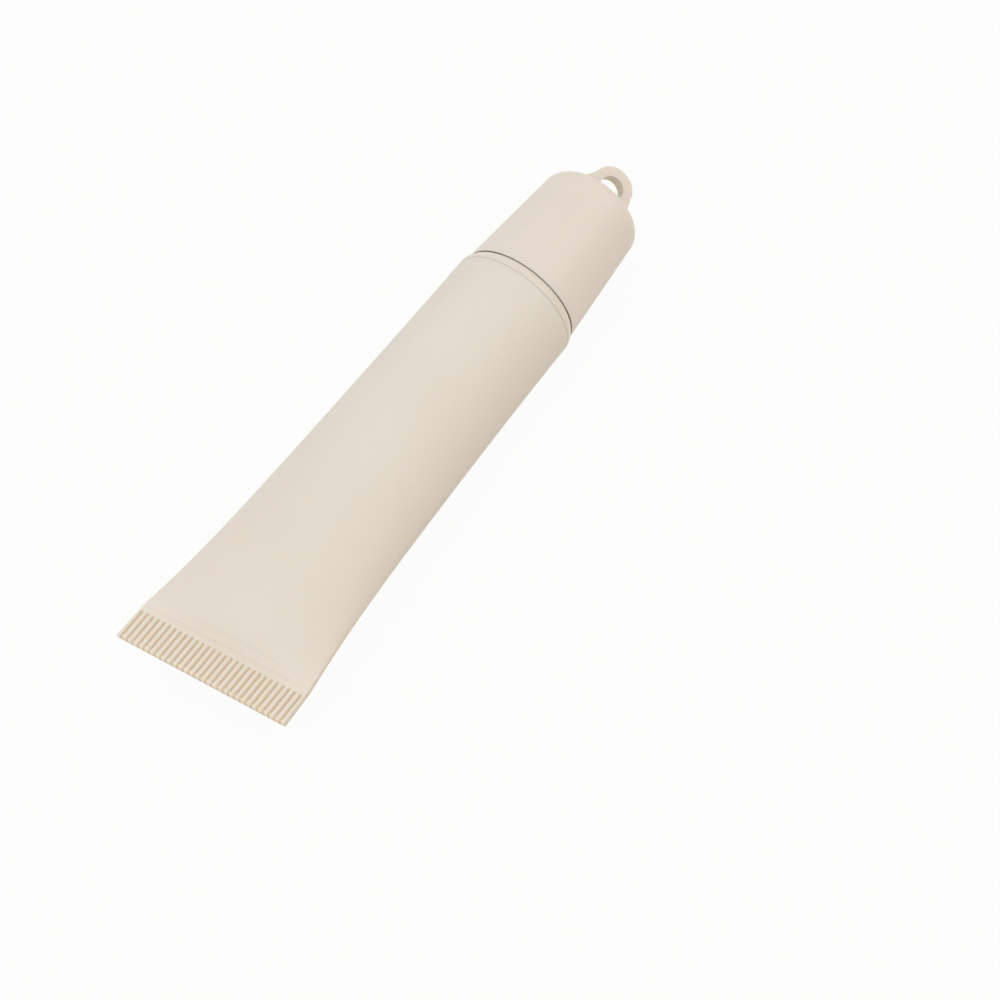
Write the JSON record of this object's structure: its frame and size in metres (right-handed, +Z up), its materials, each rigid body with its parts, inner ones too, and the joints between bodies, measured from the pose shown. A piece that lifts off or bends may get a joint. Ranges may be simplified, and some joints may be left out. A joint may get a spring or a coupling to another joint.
{
  "type": "lip gloss squeeze tube",
  "caption": "Empty soft squeeze tube for lip gloss, lying flat, with a ribbed crimp, a threaded neck, a slanted applicator tip and a screw cap with a hanging loop.",
  "frame": {"origin": "middle of the lying tube's bounding box, on the surface it lies on", "axes": "+X along the tube from crimp to cap, +Y across the crimp, +Z up"},
  "size_m": [0.0996, 0.0286, 0.019],
  "materials": {
    "sleeve": "satin extruded polyethylene",
    "head": "glossy moulded polyethylene",
    "tip": "glossy moulded polyethylene",
    "seal": "soft polyethylene foam",
    "cap": "satin moulded polypropylene"
  },
  "bodies": {
    "tube": {"tube_sleeve": "sleeve", "tube_head": "head", "applicator_tip": "tip"},
    "seal": {"cap_seal": "seal"},
    "cap": {"screw_cap": "cap"}
  },
  "joints": [
    {"name": "cap_lift", "type": "slide", "parent": "tube", "child": "seal", "axis": [0.9994, 0, 0.0349], "range_m": [0, 0.01951]},
    {"name": "cap_turn", "type": "hinge", "parent": "seal", "child": "cap", "pos_m": [0.03378, 0, 0.00989], "axis": [0.9994, 0, 0.0349], "range_deg": [0, 5400]}
  ],
  "couplings": [
    {"joint": "cap_lift", "follows": "cap_turn", "m_per_rad": 0.0002069}
  ]
}
